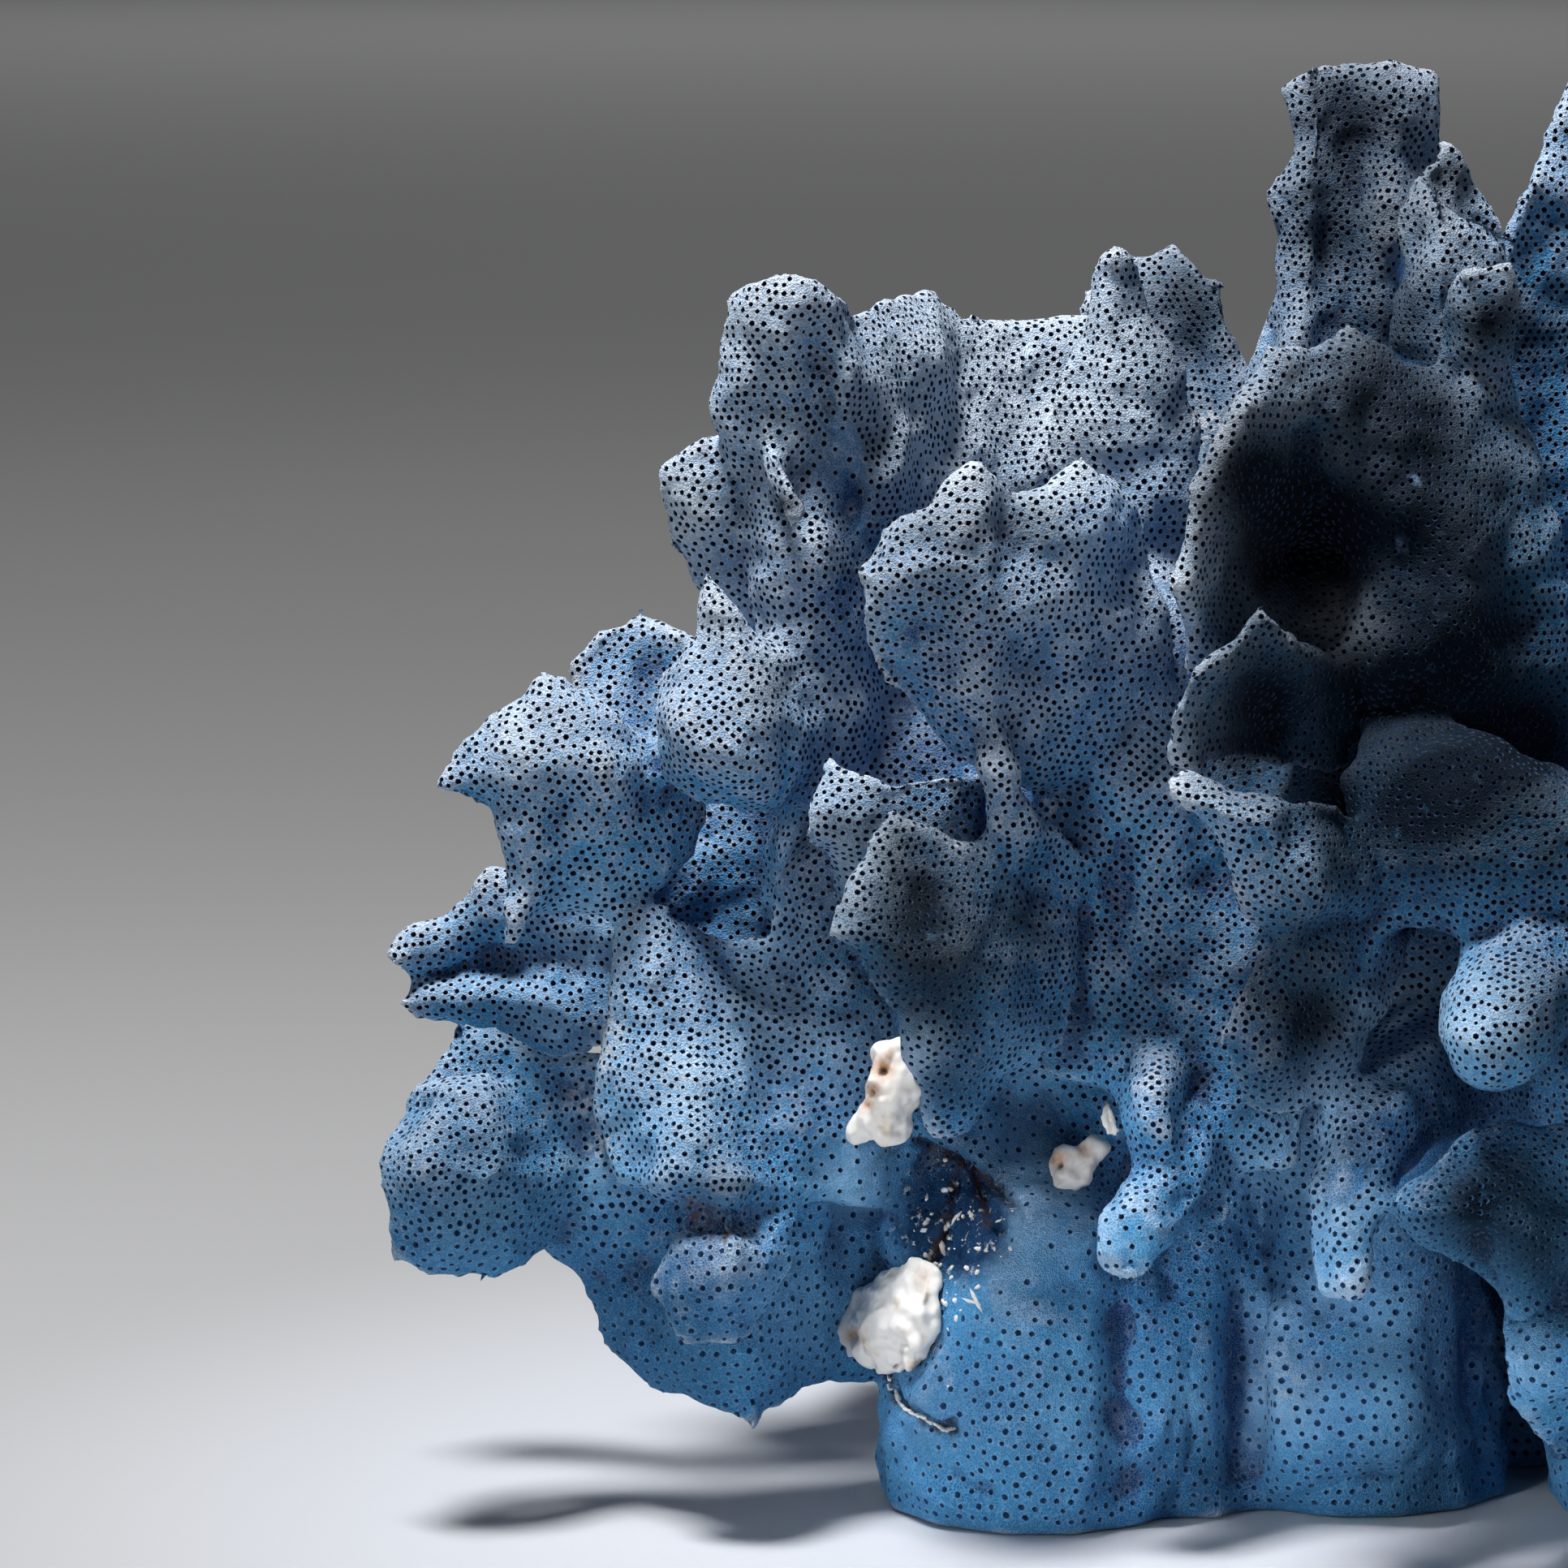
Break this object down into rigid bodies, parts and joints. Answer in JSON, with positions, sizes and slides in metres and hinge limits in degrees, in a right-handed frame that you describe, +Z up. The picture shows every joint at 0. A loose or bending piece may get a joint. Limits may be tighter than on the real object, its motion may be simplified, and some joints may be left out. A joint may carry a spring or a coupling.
{
  "type": "blue ridge coral skeleton",
  "caption": "Dry blue coral skeleton, a clump of thin ruffled fronds and blunt lobes rising from a stout foot that is cut off flat at the ground.",
  "frame": {"origin": "on the flat cut of the foot, under the middle of the colony", "axes": "+Z up, +X to the right along the colony's width, +Y towards the back, away from the side that the picture shows"},
  "size_m": [0.2634, 0.1418, 0.2015],
  "materials": {
    "coral": "matte, finely pored",
    "shell": "chalky"
  },
  "bodies": {
    "root": {"arch_front": "coral", "back_lobe": "coral", "behind_plate": "coral", "blunt_nodule": "coral", "center_fan": "coral", "center_plate": "coral", "center_spike": "coral", "central_mass": "coral", "column_lobe": "coral", "dark_front_frond": "coral", "edge_shell": "shell", "far_back_frond": "coral", "gap_shell": "shell", "hanging_finger": "coral", "knob_lobe": "coral", "large_front_sheet": "coral", "left_back_frond": "coral", "left_branch": "coral", "left_crown": "coral", "left_curl": "coral", "left_frond": "coral", "left_hanging_plate": "coral", "lower_dark_lobe": "coral", "middle_left_lobe": "coral", "pointed_lobe": "coral", "rear_arch": "coral", "rear_arm": "coral", "rear_crown": "coral", "rear_curl": "coral", "rear_dark_frond": "coral", "rear_fan": "coral", "rear_hanging_plate": "coral", "rear_large_sheet": "coral", "rear_left_branch": "coral", "rear_left_fan": "coral", "rear_left_frond": "coral", "rear_left_plate": "coral", "rear_middle_frond": "coral", "rear_middle_leaf": "coral", "recess_sheet": "coral", "right_arm": "coral", "right_branch": "coral", "right_crown": "coral", "right_curl": "coral", "right_frond": "coral", "right_front_fan": "coral", "right_front_frond": "coral", "right_front_leaf": "coral", "right_hanging_plate": "coral", "right_lobe": "coral", "right_low_plate": "coral", "right_upper_lobe": "coral", "ruffled_lobe": "coral", "spiky_frond": "coral", "tallest_frond": "coral", "trunk": "coral", "tube_shell": "shell", "twisted_frond": "coral", "upper_left_lobe": "coral", "white_crust": "shell"}
  },
  "joints": []
}
